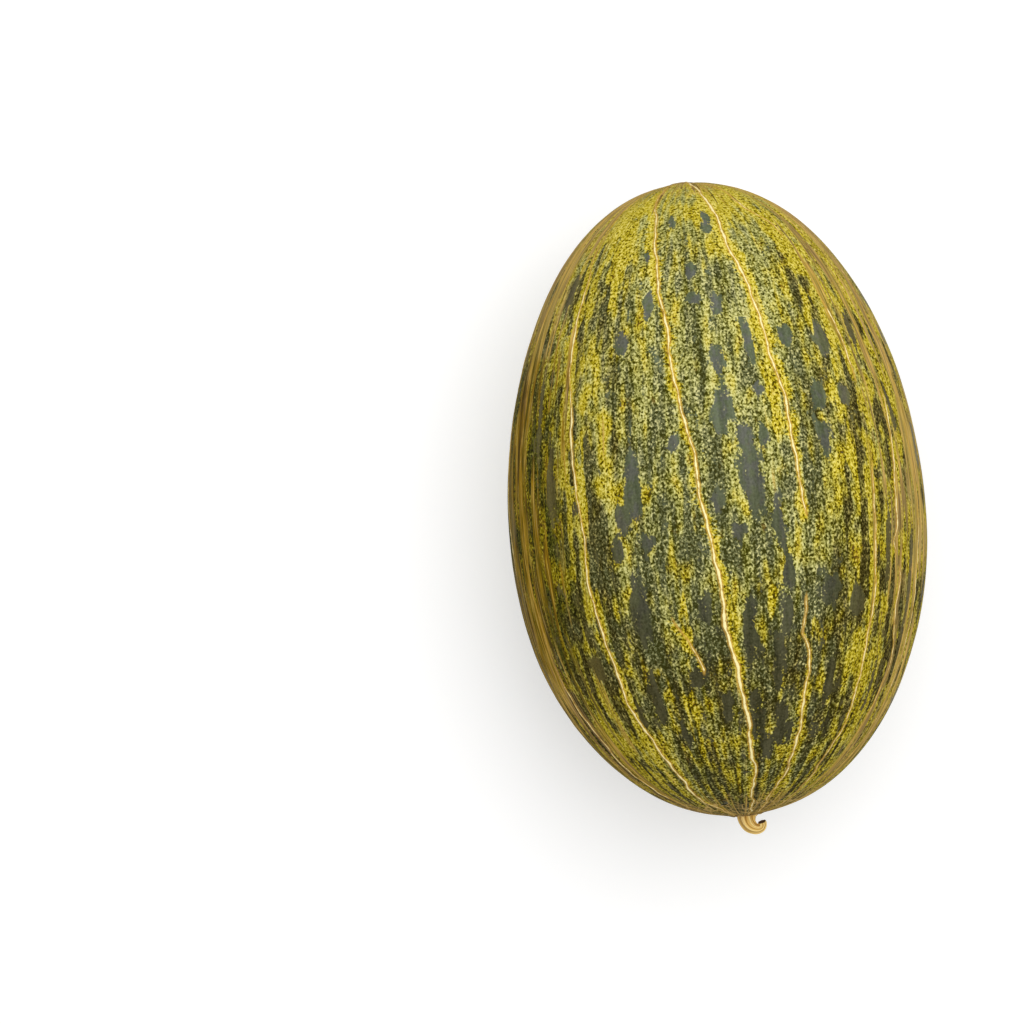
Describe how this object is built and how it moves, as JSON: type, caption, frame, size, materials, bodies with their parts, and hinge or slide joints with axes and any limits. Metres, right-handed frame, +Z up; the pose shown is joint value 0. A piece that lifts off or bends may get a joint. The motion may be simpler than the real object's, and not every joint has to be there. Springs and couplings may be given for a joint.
{
  "type": "piel de sapo melon",
  "caption": "Whole ovoid melon with a mottled green rind, raised cork lines along it, a blossom scar at one end and a short dry hooked stalk at the other, lying on a small flat spot.",
  "frame": {"origin": "middle of the flat spot that the melon lies on, at floor height", "axes": "+Z up, +Y along the melon from the stalk end to the blossom end, +X across it, to the side that the stalk hooks towards"},
  "size_m": [0.165, 0.2617, 0.1653],
  "materials": {
    "rind": "firm waxy rind, satin; grey-green ground finely flecked with yellow-green, dark green spots in rows, and dry cream cork lines",
    "dry_stalk": "dry ridged woody stalk, matt, golden tan with brown grooves and a dark cut end"
  },
  "bodies": {
    "root": {"fruit": "rind", "stalk": "dry_stalk"}
  },
  "joints": []
}
